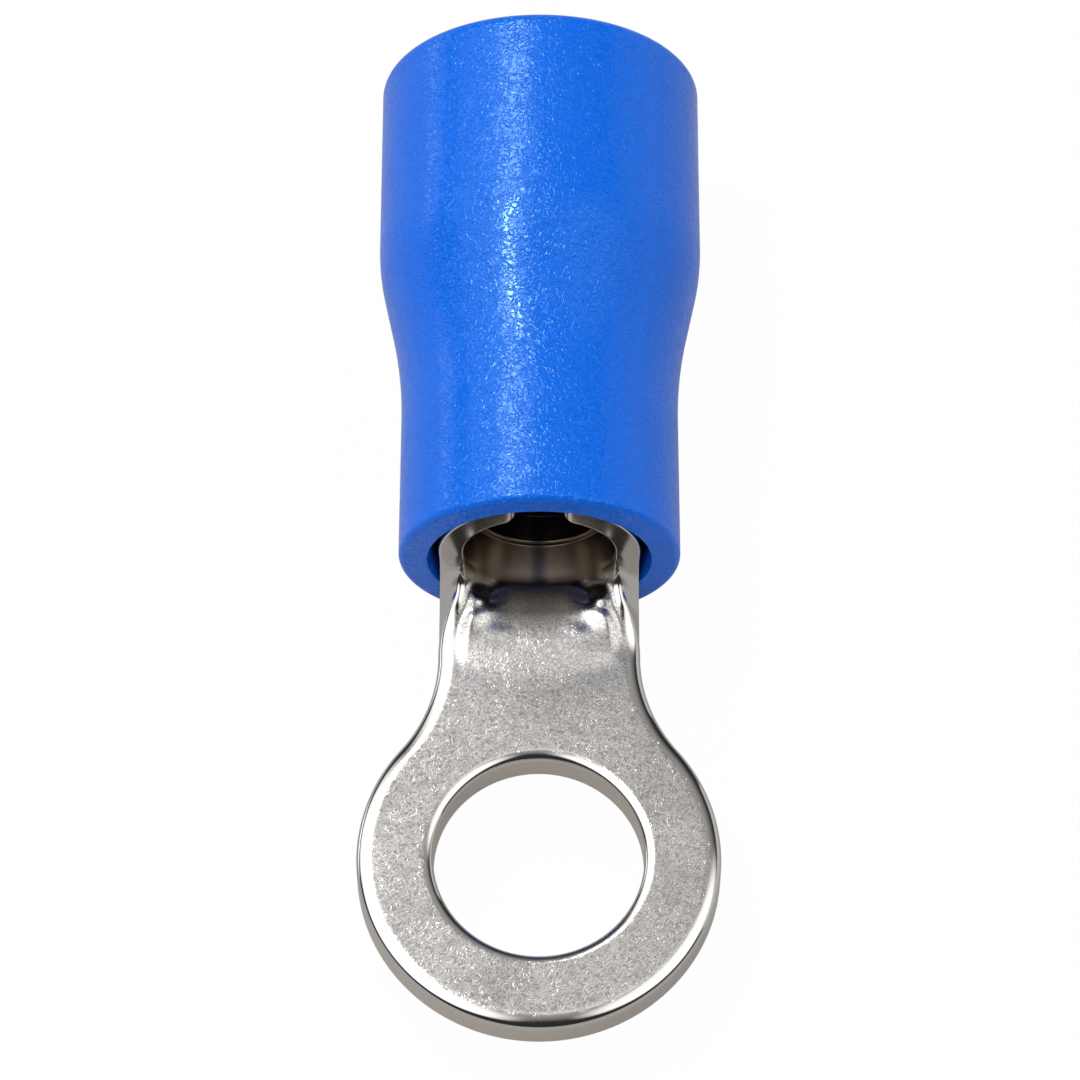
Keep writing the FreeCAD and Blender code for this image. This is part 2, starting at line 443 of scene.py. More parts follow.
def rounded_corner(before, corner, after):
    """Points of the arc that rounds one corner."""
    here, rounding = Vector(corner[:2]), corner[2]
    back = (Vector(before[:2]) - here).normalized()
    on = (Vector(after[:2]) - here).normalized()
    turn = back.angle(on)
    reach = rounding / math.tan(turn / 2)
    centre = here + (back + on).normalized() * (rounding / math.sin(turn / 2))
    first, last = here + back * reach - centre, here + on * reach - centre
    sweep = first.angle(last)
    steps = 6 if rounding > 0.03 else 3
    points = []
    for t in spread(0, 1, steps):
        arm = (first * math.sin((1 - t) * sweep) + last * math.sin(t * sweep)) / math.sin(sweep)
        points.append(tuple(centre + arm))
    return points


def bore_profile(tongue, barrel):
    """The inside of the barrel as (y, radius) pairs, with rounded lands and no gap above the longest step."""
    longest_step, long_gap, edge_step = 0.12, 0.08, 0.02
    corners = bore_corners(tongue, barrel)
    profile = [corners[0][:2]]
    for before, corner, after in zip(corners, corners[1:], corners[2:]):
        profile += rounded_corner(before, corner, after)
    profile.append(corners[-1][:2])
    filled = [profile[0]]
    for here, there in zip(profile, profile[1:]):
        gap = math.dist(here, there)
        steps = max(1, math.ceil(gap / longest_step))
        parts = [k / steps for k in range(1, steps)]
        if gap > long_gap:
            parts = [edge_step / gap] + parts
        filled += [(blend(here[0], there[0], t), blend(here[1], there[1], t)) for t in parts]
        if gap > long_gap:
            t = edge_step / gap
            filled.append((blend(there[0], here[0], t), blend(there[1], here[1], t)))
        filled.append(there)
    return filled


def tongue_outline(tongue, barrel):
    """Outline of ring and neck, from the left end of the neck round the tip to the right end."""
    radius = barrel.bore / MM / 2 + tongue.thickness / MM
    ring = tongue.width / MM / 2
    start = (barrel.mouth - barrel.wing_run) / MM
    neck_y = start - tongue.neck_straight / MM
    fillet = (neck_y ** 2 - ring ** 2 + radius ** 2) / (2 * (ring - radius))
    centre = Vector((radius + fillet, neck_y))
    touch = centre * (ring / centre.length)
    touch_turn = math.atan2(touch.y, touch.x)
    end_turn = math.atan2(touch.y - centre.y, touch.x - centre.x) % (2 * math.pi)
    right = [Vector((radius, start))]
    for turn in spread(math.pi, end_turn, 26):
        right.append(Vector((centre.x + fillet * math.cos(turn), centre.y + fillet * math.sin(turn))))
    for turn in spread(touch_turn, -math.pi / 2, 80)[1:]:
        right.append(Vector((ring * math.cos(turn), ring * math.sin(turn))))
    left = [Vector((-p.x, p.y)) for p in right]
    return left + right[-2::-1]


def edge_frame(along, top, bottom):
    """Unit vectors out of the strip's edge and up through the sheet, for an edge that runs in a direction."""
    up = top - bottom
    up.y = 0
    up.normalize()
    return along.cross(up).normalized(), up


def grain_left(out, width):
    """How much of the grain is left at a distance into a rounding."""
    return max(0.0, 1 - out / (GRAIN_END * width))


def add_pair(right, left, top, bottom, top_row, bottom_row, column, roll):
    """Adds a station on the right at a column of two rows, and the same one on the left."""
    right.append(Station(top, bottom, top_row[column], bottom_row[column], roll))
    top, bottom = Vector((-top.x, top.y, top.z)), Vector((-bottom.x, bottom.y, bottom.z))
    left.append(Station(top, bottom, top_row[-1 - column], bottom_row[-1 - column], roll))


class StripBuilder:
    """Builds one closed shell: the ring with its hole, the wings, and the barrel with its open seam."""

    def __init__(self, tongue, barrel):
        self.shell = Shell()
        self.strip = Strip(tongue, barrel)
        self.profile = bore_profile(tongue, barrel)
        self.outline = tongue_outline(tongue, barrel)
        self.hole = tongue.hole_diameter / MM / 2
        self.hole_roll = tongue.hole_roll / MM
        self.low = tongue.lower_round / MM
        self.edge_roll = tongue.edge_roll / MM
        self.edge_corner = tongue.edge_corner / MM
        self.edge_fall = tongue.edge_fall
        self.mouth_roll = barrel.mouth_roll / MM
        self.half_gap = barrel.seam_gap / MM / 2
        self.seam_corner = barrel.seam_corner / MM
        self.end = self.strip.mouth + barrel.length / MM

    def build(self):
        corners = self.wing_corners()
        wing_top, wing_bottom = self.wing_grid(corners, True), self.wing_grid(corners, False)
        inner_rows = self.inner_rows()
        outer_rows = self.outer_rows(len(inner_rows))
        barrel_top = self.barrel_grid(inner_rows, wing_top[-1], True)
        barrel_bottom = self.barrel_grid(outer_rows, wing_bottom[-1], False)
        for grid in (wing_top, wing_bottom, barrel_top, barrel_bottom):
            self.shell.bridge_rows(grid)
        wing_right, wing_left = self.wing_stations(corners, wing_top, wing_bottom)
        seam_right, seam_left = self.seam_stations(inner_rows, outer_rows, barrel_top, barrel_bottom)
        rear = self.rear_stations(inner_rows[-1][1], barrel_top[-1], barrel_bottom[-1])
        stations = wing_right + seam_right + rear + seam_left[::-1] + wing_left[::-1]
        self.edge_wall(stations, self.ring(wing_top[0], wing_bottom[0]))
        return self.shell

    def bore_radius(self, y):
        for (y0, r0), (y1, r1) in zip(self.profile, self.profile[1:]):
            if y0 <= y <= y1 and y1 > y0:
                return blend(r0, r1, (y - y0) / (y1 - y0))
        return self.profile[0][1] if y < self.strip.mouth else self.profile[-1][1]

    def inner_depth(self, y):
        return self.strip.wing(y)[2] if y < self.strip.mouth else self.strip.radius - self.bore_radius(y)

    def outer_depth(self, _):
        return 0.0

    def seam_angle(self, r):
        return math.pi - math.asin(self.half_gap / r)

    def on_barrel(self, angle, y, r):
        return Vector((r * math.sin(angle), y, self.strip.radius - r * math.cos(angle)))

    def roll_at(self, k):
        """Width of the upper rounding at a station of the wings: it narrows towards the mouth."""
        return blend(self.edge_roll, self.mouth_roll, smooth(k / WING_ROWS * 1.15))

    def wing_corners(self):
        """Stations up the right-hand wing: the sheet's inner and outer corner, the edge's place u, and y."""
        strip = self.strip
        corners = []
        for k in range(WING_ROWS + 1):
            y = strip.start + strip.run * math.sin(math.pi / 2 * k / WING_ROWS)
            _, edge_u, wall = strip.wing(y)
            if k == WING_ROWS:
                y, edge_u, wall = strip.mouth, strip.mouth_u, strip.wall
            x, z = strip.raw(edge_u, y, 0.0)
            bottom = Vector((x, y, z))
            x, z = strip.raw(edge_u, y, wall)
            corners.append((Vector((x, y, z)), bottom, edge_u, y))
        return corners

    def wing_outward(self, corners, k):
        if k == 0:
            return Vector((1, 0, 0))
        if k == WING_ROWS:
            return Vector((0, -1, 0))
        along = (corners[k + 1][1] - corners[k - 1][1]).normalized()
        return edge_frame(along, *corners[k][:2])[0]

    def wing_grid(self, corners, is_top):
        """Rows from the neck to the mouth, columns from right to left."""
        strip = self.strip
        depth_at = self.inner_depth if is_top else self.outer_depth
        grid = []
        for k, (_, _, edge_u, y) in enumerate(corners):
            inset = self.roll_at(k) if is_top else self.low
            outward = self.wing_outward(corners, k)
            curvature = strip.curvature(y)
            sideways = math.sqrt(max(0.0, 1 - outward.y ** 2))
            end_u = edge_u - sideways * inset * (1 / (1 - curvature * depth_at(y)))
            row_y = y - outward.y * inset
            row = []
            for c in range(ACROSS + 1):
                u = blend(end_u, -end_u, c / ACROSS)
                point = strip.at(u, row_y, depth_at)
                if is_top:
                    row.append(self.hammered(point, u, row_y, end_u, curvature))
                else:
                    row.append(self.shell.add(point, grain=1.0))
            grid.append(row)
        return grid

    def hammered(self, point, u, y, end_u, curvature):
        """Adds a vertex of the wings' top, raised or sunk where the floor is hammered."""
        strip = self.strip
        lean = u * curvature
        lift = strip.lift(u, y) * smooth((abs(end_u) - abs(u)) / LIFT_EDGE)
        lift *= smooth((strip.mouth - y) / LIFT_END)
        point += Vector((-math.sin(lean), 0, math.cos(lean))) * lift
        along = (y - strip.start) / strip.run
        middle = 1 - rising(abs(u), 0.45, 0.7)
        # The hollow mask tints the hammered hollow with painted shade.
        hollow = rising(along - 0.35 * u * u, 0.0, 0.5) * (1 - rising(along, 0.8, 0.25)) * middle
        # The bore mask darkens the floor going into the mouth with painted shade.
        grain, bore = 1 - rising(along, 0.8, 0.2), rising(along, 0.7, 0.35)
        return self.shell.add(point, grain=grain, bore=bore, hollow=hollow)

    def inner_rows(self):
        """Rows inside the barrel as (y, radius, end angle): round the seam's corner, then along the bore."""
        small = max(self.seam_corner - self.mouth_roll, 0.03)
        rows = []
        for k in range(CORNER_ROWS + 1):
            turn = math.pi / 2 * k / CORNER_ROWS
            y = self.strip.mouth + self.mouth_roll + small * (1 - math.cos(turn))
            r = self.bore_radius(y)
            rows.append((y, r, self.seam_angle(r) - self.edge_roll / r - small * (1 - math.sin(turn)) / r))
        past_corner = rows[-1][0] + 0.02
        for y, r in self.profile[1:]:
            is_new = y > past_corner and (y, r) != rows[-1][:2]
            if is_new and (y <= self.end - self.low * 1.01 or y == self.profile[-1][0]):
                rows.append((min(y, self.end - self.low), r, self.seam_angle(r) - self.edge_roll / r))
        return rows

    def outer_rows(self, count):
        """As many rows outside the barrel."""
        mouth, radius, low, corner = self.strip.mouth, self.strip.radius, self.low, self.seam_corner
        end_angle = self.seam_angle(radius) - low / radius
        wide = corner - low
        rows = []
        for k in range(CORNER_ROWS + 1):
            turn = math.pi / 2 * k / CORNER_ROWS
            y = mouth + low + wide * (1 - math.cos(turn))
            rows.append((y, radius, end_angle - wide * (1 - math.sin(turn)) / radius))
        seam_rows = count - 1 - CORNER_ROWS
        for part in spread(0, 1, seam_rows)[1:]:
            rows.append((blend(mouth + corner, self.end - low, part), radius, end_angle))
        return rows

    def barrel_grid(self, rows, first, is_top):
        """Rows behind the mouth. The first takes the wings' last row as its middle columns."""
        strip = self.strip
        depth_at = self.inner_depth if is_top else self.outer_depth
        # The inside of the barrel takes the whole bore mask, which darkens it with painted shade.
        kind = {"bore": 1.0} if is_top else {"grain": 0.35}
        grid = []
        for n, (y, r, reach) in enumerate(rows):
            angles = [blend(reach, strip.mouth_angle, k / UPPER) for k in range(UPPER)]
            angles += spread(strip.mouth_angle, -strip.mouth_angle, ACROSS)
            angles += spread(-strip.mouth_angle, -reach, UPPER)[1:]
            row = []
            for c, angle in enumerate(angles):
                if n == 0 and UPPER <= c <= UPPER + ACROSS:
                    row.append(first[c - UPPER])
                elif y < strip.mouth + strip.ease_width + 0.02:
                    row.append(self.shell.add(strip.at(angle * strip.radius, y, depth_at), **kind))
                else:
                    row.append(self.shell.add(self.on_barrel(angle, y, r), **kind))
            grid.append(row)
        return grid

    def wing_stations(self, corners, wing_top, wing_bottom):
        """Stations up the right wing, and the same ones on the left wing."""
        right, left = [], []
        for k, (top, bottom, _, _) in enumerate(corners):
            add_pair(right, left, top, bottom, wing_top[k], wing_bottom[k], 0, self.roll_at(k))
        return right, left

    def seam_stations(self, inner_rows, outer_rows, barrel_top, barrel_bottom):
        """Stations from the right wing over the mouth and along the seam, and the same ones on the left."""
        mouth, radius, corner = self.strip.mouth, self.strip.radius, self.seam_corner
        right, left = [], []
        mouth_angle, mouth_radius = self.strip.mouth_angle, self.bore_radius(mouth)
        for c in range(UPPER - 1, -1, -1):
            top, bottom = (
                self.on_barrel(blend(self.seam_angle(r) - corner / r, mouth_angle, c / UPPER), mouth, r)
                for r in (mouth_radius, radius)
            )
            add_pair(right, left, top, bottom, barrel_top[0], barrel_bottom[0], c, self.mouth_roll)
        for n in range(1, len(inner_rows)):
            turn = math.pi / 2 * min(n / CORNER_ROWS, 1)
            back = corner * (1 - math.sin(turn))
            if n <= CORNER_ROWS:
                y = outer_y = mouth + corner * (1 - math.cos(turn))
                r = self.bore_radius(y)
            else:
                y, r, _ = inner_rows[n]
                outer_y = outer_rows[n][0]
            if n == len(inner_rows) - 1:
                y = outer_y = self.end
            top = self.on_barrel(self.seam_angle(r) - back / r, y, r)
            bottom = self.on_barrel(self.seam_angle(radius) - back / radius, outer_y, radius)
            roll = blend(self.mouth_roll, self.edge_roll, smooth(n / 8))
            add_pair(right, left, top, bottom, barrel_top[n], barrel_bottom[n], 0, roll)
        return right, left

    def rear_stations(self, bore, top_row, bottom_row):
        """Stations across the wire entry, from right to left."""
        columns = len(top_row) - 1
        stations = []
        for c in range(1, columns):
            inner, outer = (
                self.on_barrel(blend(self.seam_angle(r), -self.seam_angle(r), c / columns), self.end, r)
                for r in (bore, self.strip.radius)
            )
            stations.append(Station(inner, outer, top_row[c], bottom_row[c], self.low))
        return stations

    def ring(self, wing_top, wing_bottom):
        """The ring and neck: straight lines run from the hole to the outline, or to the wings' first row."""
        shell, sheet, low = self.shell, self.strip.sheet, self.low
        rim_top, rim_bottom = list(wing_top), list(wing_bottom)
        stations = []
        last = len(self.outline) - 1
        for k in range(1, last):
            x, y = self.outline[k]
            along = (self.outline[k + 1] - self.outline[k - 1]).normalized()
            outward = Vector((along.y, -along.x, 0))
            if k in (1, last - 1):
                outward = Vector((math.copysign(1, x), 0, 0))
            top, bottom = Vector((x, y, sheet)), Vector((x, y, 0))
            rim_top.append(shell.add(top - outward * self.edge_roll, grain=1.0))
            rim_bottom.append(shell.add(bottom - outward * low, grain=1.0))
            stations.append(Station(top, bottom, rim_top[-1], rim_bottom[-1], self.edge_roll))
        ends_top = [shell.points[vertex] for vertex in rim_top]
        ends_bottom = [shell.points[vertex] for vertex in rim_bottom]
        turns = [math.atan2(p.y, p.x) for p in ends_top]
        wheel_top, wheel_bottom = [], []
        for part in SPOKES:
            row_top, row_bottom = [], []
            for turn, far_top, far_bottom in zip(turns, ends_top, ends_bottom):
                direction = Vector((math.cos(turn), math.sin(turn), 0))
                point = (direction * (self.hole + self.hole_roll)).lerp(far_top, part)
                point.z = sheet + self.neck_lift(point.x, point.y)
                row_top.append(shell.add(point, grain=1.0))
                point = (direction * (self.hole + low)).lerp(far_bottom, part)
                row_bottom.append(shell.add(point, grain=1.0))
            wheel_top.append(row_top)
            wheel_bottom.append(row_bottom)
        shell.bridge_rows(wheel_top + [rim_top], closed=True)
        shell.bridge_rows(wheel_bottom + [rim_bottom], closed=True)
        self.hole_wall(wheel_top[0], wheel_bottom[0], turns)
        return stations

    def neck_lift(self, x, y):
        """Height of the ramp's start on the neck, which fades out towards the neck's widening edges."""
        if y <= RAMP[0][0]:
            return 0.0
        twice_fillet = 5.6
        edge = self.strip.radius - self.edge_roll + (self.strip.start - y) ** 2 / twice_fillet
        return self.strip.lift(x, y) * smooth((edge - abs(x)) / LIFT_EDGE)

    def hole_wall(self, top_ring, bottom_ring, turns):
        """The hole's rounding, its sheared wall and its small lower rounding."""
        low, hole = self.low, self.hole
        levels = []
        for out, drop in edge_profile(self.hole_roll, self.edge_corner, self.edge_fall, ROLL_STEPS)[1:]:
            grain = grain_left(out, self.hole_roll)
            levels.append((hole + self.hole_roll - out, self.strip.sheet - drop, 0.0, grain))
        wall_top = levels[-1][1]
        levels += [(hole, blend(wall_top, low, part), 1.0, 0.0) for part in HOLE_PARTS]
        for k in range(1, LOW_STEPS):
            turn = math.pi / 2 * k / LOW_STEPS
            levels.append((hole + low * (1 - math.cos(turn)), low * (1 - math.sin(turn)), 1.0, 0.0))
        rings = [top_ring]
        for r, z, cut, grain in levels:
            rings.append([
                self.shell.add(Vector((r * math.cos(turn), r * math.sin(turn), z)), cut=cut, grain=grain)
                for turn in turns
            ])
        self.shell.bridge_rows(rings + [bottom_ring], closed=True)

    def sheared_part(self, top):
        """How bare the wall is: rolling polishes it about the mouth."""
        before, behind = self.strip.start + 0.5, self.strip.mouth + 0.3
        return 1 - 0.85 * rising(top.y, before, 0.6) * (1 - rising(top.y, behind, 0.3))

    def edge_wall(self, stations, ring_stations):
        """The sheared wall round the whole strip, with its upper and its small lower rounding."""
        shell, low = self.shell, self.low
        loop = stations + ring_stations
        walls = []
        for k, (top, bottom, top_vertex, bottom_vertex, roll) in enumerate(loop):
            before, after = loop[k - 1], loop[(k + 1) % len(loop)]
            along = ((after.top + after.bottom) - (before.top + before.bottom)).normalized()
            outward, up = edge_frame(along, top, bottom)
            top_error = shell.points[top_vertex] - (top - outward * roll)
            bottom_error = shell.points[bottom_vertex] - (bottom - outward * low)
            sheared = self.sheared_part(top) if k < len(stations) else 1.0
            grain = shell.kinds[top_vertex][0]
            rounding = edge_profile(roll, self.edge_corner, self.edge_fall, ROLL_STEPS)
            wall = [top_vertex]
            for n, (out, drop) in enumerate(rounding[1:-1], 1):
                point = top - outward * (roll - out) - up * drop + top_error * (1 - n / ROLL_STEPS)
                wall.append(shell.add(point, grain=grain * grain_left(out, roll)))
            first, last = top - up * rounding[-1][1], bottom + up * low
            for part in WALL_PARTS:
                wall.append(shell.add(first.lerp(last, part), cut=sheared * smooth(part / WALL_PARTS[1])))
            for n in range(1, LOW_STEPS):
                turn = math.pi / 2 * n / LOW_STEPS
                point = bottom - outward * low * (1 - math.cos(turn)) + up * low * (1 - math.sin(turn))
                wall.append(shell.add(point + bottom_error * n / LOW_STEPS, cut=sheared))
            wall.append(bottom_vertex)
            walls.append(wall)
        for wall, following in zip(walls, walls[1:] + walls[:1]):
            shell.bridge(wall, following)


class LUG_OT_ring_terminal(bpy.types.Operator):
    """Makes the tin-plated strip: ring tongue, wings and rolled barrel"""

    bl_idname = "lug.ring_terminal"
    bl_label = "Ring terminal"

    def execute(self, context):
        scene = context.scene
        remove_old("ring_terminal_plated")
        shell = StripBuilder(scene.lug_tongue, scene.lug_barrel).build()
        mesh = shell.mesh("ring_terminal_plated")
        close_mesh(mesh)
        mesh.polygons.foreach_set("use_smooth", [True] * len(mesh.polygons))
        mesh.materials.append(tin_plate(scene.lug_finishes))
        piece = link_new("ring_terminal_plated", mesh)
        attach(piece, BODY)
        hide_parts("ring_terminal")
        return {"FINISHED"}


# The sleeve


SLEEVE_INPUTS = (
    ("Front", "front"), ("Length", "length"), ("Front Diameter", "front_diameter"),
    ("Front Length", "front_length"), ("Waist Diameter", "waist_diameter"), ("Waist Bend", "waist_bend"),
    ("Cone Length", "cone_length"),
    ("Shoulder Diameter", "shoulder_diameter"), ("Shoulder Bend", "shoulder_bend"),
    ("Bell Diameter", "bell_diameter"), ("Bell Bore", "bell_bore"), ("Inner Taper", "inner_taper"),
    ("Opening", "opening"), ("Lead-in", "lead_in"), ("Front Rim", "front_rim"), ("Rear Rim", "rear_rim"),
    ("Entry Chamfer", "entry_chamfer"),
)
DIAMETERS = ("Front Diameter", "Waist Diameter", "Shoulder Diameter", "Bell Diameter", "Bell Bore", "Opening")


class NodeMaths:
    """Short calls that add nodes to a tree."""

    def __init__(self, tree):
        self.tree = tree
        self.nodes = tree.nodes
        self.links = tree.links

    def plug(self, value, socket):
        if isinstance(value, bpy.types.NodeSocket):
            self.links.new(value, socket)
        elif value is not None:
            socket.default_value = value

    def node(self, kind, inputs=None, **settings):
        made = self.nodes.new(kind)
        for name, value in settings.items():
            setattr(made, name, value)
        for name, value in (inputs or {}).items():
            self.plug(value, made.inputs[name])
        return made

    def maths(self, operation, *values):
        made = self.node("ShaderNodeMath", operation=operation)
        for value, socket in zip(values, made.inputs):
            self.plug(value, socket)
        return made.outputs[0]

    def add(self, a, b):
        return self.maths("ADD", a, b)

    def less(self, a, b):
        return self.maths("SUBTRACT", a, b)

    def times(self, a, b):
        return self.maths("MULTIPLY", a, b)

    def over(self, a, b):
        return self.maths("DIVIDE", a, b)

    def total(self, first, *weighted):
        """The first value plus each (value, weight) pair's product."""
        for value, weight in weighted:
            first = self.add(first, self.times(value, weight))
        return first

    def ranged(self, value, from_low, from_high, to_low=0.0, to_high=1.0, kind="SMOOTHSTEP"):
        made = self.node("ShaderNodeMapRange", interpolation_type=kind)
        for socket, given in zip(made.inputs, (value, from_low, from_high, to_low, to_high)):
            self.plug(given, socket)
        return made.outputs[0]


def sockets(tree, in_out, kind, names):
    return [tree.interface.new_socket(name, in_out=in_out, socket_type=kind) for name in names]


def sleeve_corners(make, given):
    """Corners of the sleeve's profile as (along, radius, fillet), from the opening round the outside."""
    half = {name: make.times(given[name], 0.5) for name in DIAMETERS}
    front = given["Front"]
    end = make.add(front, given["Length"])
    rim, rear = given["Front Rim"], given["Rear Rim"]
    waist = make.add(front, given["Front Length"])
    inner_start = make.add(given["Barrel End"], given["Inner Taper"])
    hair = 0.00003
    return [
        (front, half["Opening"], hair),
        (front, make.less(half["Front Diameter"], make.add(rim, hair)), 0.0),
        (front, half["Front Diameter"], rim),
        (make.add(front, make.add(rim, hair)), half["Front Diameter"], 0.0),
        (waist, half["Waist Diameter"], given["Waist Bend"]),
        (make.add(waist, given["Cone Length"]), half["Shoulder Diameter"], given["Shoulder Bend"]),
        (make.less(end, make.add(rear, hair)), half["Bell Diameter"], 0.0),
        (end, half["Bell Diameter"], rear),
        (end, make.add(half["Bell Bore"], given["Entry Chamfer"]), hair),
        (make.less(end, given["Entry Chamfer"]), half["Bell Bore"], hair),
        (inner_start, half["Bell Bore"], hair),
        (given["Barrel End"], given["Grip Radius"], hair),
        (make.add(front, given["Lead-in"]), given["Grip Radius"], hair),
    ]


def sleeve_tree(material):
    """A closed profile of corner points, filleted and swept round the barrel's axis."""
    tree = bpy.data.node_groups.new("insulating_sleeve_by_rule", "GeometryNodeTree")
    sockets(tree, "INPUT", "NodeSocketGeometry", ["Geometry"])
    names = [name for name, _ in SLEEVE_INPUTS] + ["Barrel Radius", "Barrel End", "Grip Radius"]
    for socket in sockets(tree, "INPUT", "NodeSocketFloat", names):
        socket.subtype = "DISTANCE"
    sockets(tree, "INPUT", "NodeSocketInt", ["Segments"])
    sockets(tree, "OUTPUT", "NodeSocketGeometry", ["Geometry"])
    make = NodeMaths(tree)
    given = make.node("NodeGroupInput").outputs
    corners = sleeve_corners(make, given)
    index = make.node("GeometryNodeInputIndex").outputs[0]

    def pick(column):
        chosen = make.nodes.new("GeometryNodeIndexSwitch")
        chosen.data_type = "FLOAT"
        while len(chosen.index_switch_items) < len(corners):
            chosen.index_switch_items.new()
        make.plug(index, chosen.inputs["Index"])
        for n, corner in enumerate(corners):
            make.plug(corner[column], chosen.inputs[n + 1])
        return chosen.outputs[0]

    place = make.node("ShaderNodeCombineXYZ", {"X": pick(1), "Y": pick(0)}).outputs[0]
    points = make.node("GeometryNodeMeshLine", {"Count": len(corners)}).outputs[0]
    points = make.node("GeometryNodeSetPosition", {"Geometry": points, "Position": place}).outputs[0]
    points = make.node(
        "GeometryNodeStoreNamedAttribute", {"Geometry": points, "Name": "fillet", "Value": pick(2)},
        data_type="FLOAT", domain="POINT",
    ).outputs[0]
    curve = make.node("GeometryNodeMeshToCurve", {"Mesh": points}).outputs[0]
    curve = make.node("GeometryNodeSetSplineCyclic", {"Geometry": curve, "Cyclic": True}).outputs[0]
    fillet = make.node("GeometryNodeInputNamedAttribute", {"Name": "fillet"}, data_type="FLOAT").outputs[0]
    steps = make.ranged(fillet, 0.0001, 0.0004, 8.0, 20.0, "LINEAR")
    steps = make.node("FunctionNodeFloatToInt", {0: steps}).outputs[0]
    rounded = make.node(
        "GeometryNodeFilletCurve", {"Curve": curve, "Count": steps, "Radius": fillet, "Limit Radius": True},
        mode="POLY",
    ).outputs[0]
    profile = make.node("GeometryNodeCurveToMesh", {"Curve": rounded}).outputs[0]
    # The swept surface: a grid whose columns are copies of the profile, turned about the barrel's axis.
    size = make.node("GeometryNodeAttributeDomainSize", {"Geometry": profile}, component="MESH")
    size = size.outputs["Point Count"]
    rows = make.add(given["Segments"], 1.0)
    counts = {"Vertices X": make.add(size, 1.0), "Vertices Y": rows}
    grid = make.node("GeometryNodeMeshGrid", counts).outputs[0]
    column = make.maths("FLOOR", make.over(make.add(index, 0.5), rows))
    step = make.less(index, make.times(column, rows))
    position = make.node("GeometryNodeInputPosition").outputs[0]
    sample = make.node(
        "GeometryNodeSampleIndex",
        {"Geometry": profile, "Value": position, "Index": make.maths("MODULO", column, size)},
        data_type="FLOAT_VECTOR", domain="POINT",
    )
    part = make.node("ShaderNodeSeparateXYZ", {0: sample.outputs[0]}).outputs
    turn = make.times(make.over(step, given["Segments"]), 2 * math.pi)
    swept = make.node(
        "ShaderNodeCombineXYZ",
        {
            "X": make.times(part["X"], make.maths("SINE", turn)),
            "Y": part["Y"],
            "Z": make.add(given["Barrel Radius"], make.times(part["X"], make.maths("COSINE", turn))),
        },
    ).outputs[0]
    body = make.node("GeometryNodeSetPosition", {"Geometry": grid, "Position": swept}).outputs[0]
    body = make.node("GeometryNodeMergeByDistance", {"Geometry": body, "Distance": 0.0000004}).outputs[0]
    body = make.node("GeometryNodeSetShadeSmooth", {"Geometry": body, "Shade Smooth": True}).outputs[0]
    body = make.node("GeometryNodeRealizeInstances", {"Geometry": body}).outputs[0]
    body = make.node("GeometryNodeSetMaterial", {"Geometry": body, "Material": material}).outputs[0]
    make.links.new(body, make.node("NodeGroupOutput").inputs["Geometry"])
    return tree


class LUG_OT_insulating_sleeve(bpy.types.Operator):
    """Makes the blue sleeve from its sizes with a node tree"""

    bl_idname = "lug.insulating_sleeve"
    bl_label = "Insulating sleeve"

    def execute(self, context):
        scene = context.scene
        sizes, barrel, tongue = scene.lug_sleeve, scene.lug_barrel, scene.lug_tongue
        remove_old("insulating_sleeve_moulded")
        radius = barrel.bore / 2 + tongue.thickness
        material = blue_plastic(scene.lug_finishes, radius, radius + sizes.grip_clearance)
        tree = sleeve_tree(material)
        seed = link_new("sleeve_seed", bpy.data.meshes.new("sleeve_seed"))
        modifier = seed.modifiers.new("sleeve", "NODES")
        modifier.node_group = tree
        values = {name: getattr(sizes, field) for name, field in SLEEVE_INPUTS}
        values["Barrel Radius"] = radius
        values["Barrel End"] = barrel.mouth + barrel.length
        values["Grip Radius"] = radius + sizes.grip_clearance
        values["Segments"] = sizes.segments
        for item in tree.interface.items_tree:
            if item.in_out == "INPUT" and item.name in values:
                modifier[item.identifier] = values[item.name]
        context.view_layer.update()
        graph = context.evaluated_depsgraph_get()
        mesh = bpy.data.meshes.new_from_object(seed.evaluated_get(graph))
        bpy.data.objects.remove(seed, do_unlink=True)
        mesh.name = "insulating_sleeve_moulded"
        close_mesh(mesh)
        piece = link_new("insulating_sleeve_moulded", mesh)
        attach(piece, BODY)
        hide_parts("insulating_sleeve")
        return {"FINISHED"}


# Finishes


# Ridges per metre, how far they wind, and the depth of the relief in metres: tin grain and orange peel.
GRAIN_SCALE, GRAIN_WINDING, GRAIN_DEPTH = 15000.0, 1.6, 0.0000005
PEEL_SCALE, PEEL_WINDING, PEEL_DEPTH = 12500.0, 0.6, 0.000007
SHEAR_SCALE = 2600.0


def new_material(name):
    material = bpy.data.materials.new(name)
    material.use_nodes = True
    material.node_tree.nodes.clear()
    make = NodeMaths(material.node_tree)
    output = make.node("ShaderNodeOutputMaterial")
    surface = make.node("ShaderNodeBsdfPrincipled")
    make.links.new(surface.outputs[0], output.inputs["Surface"])
    return material, make, surface


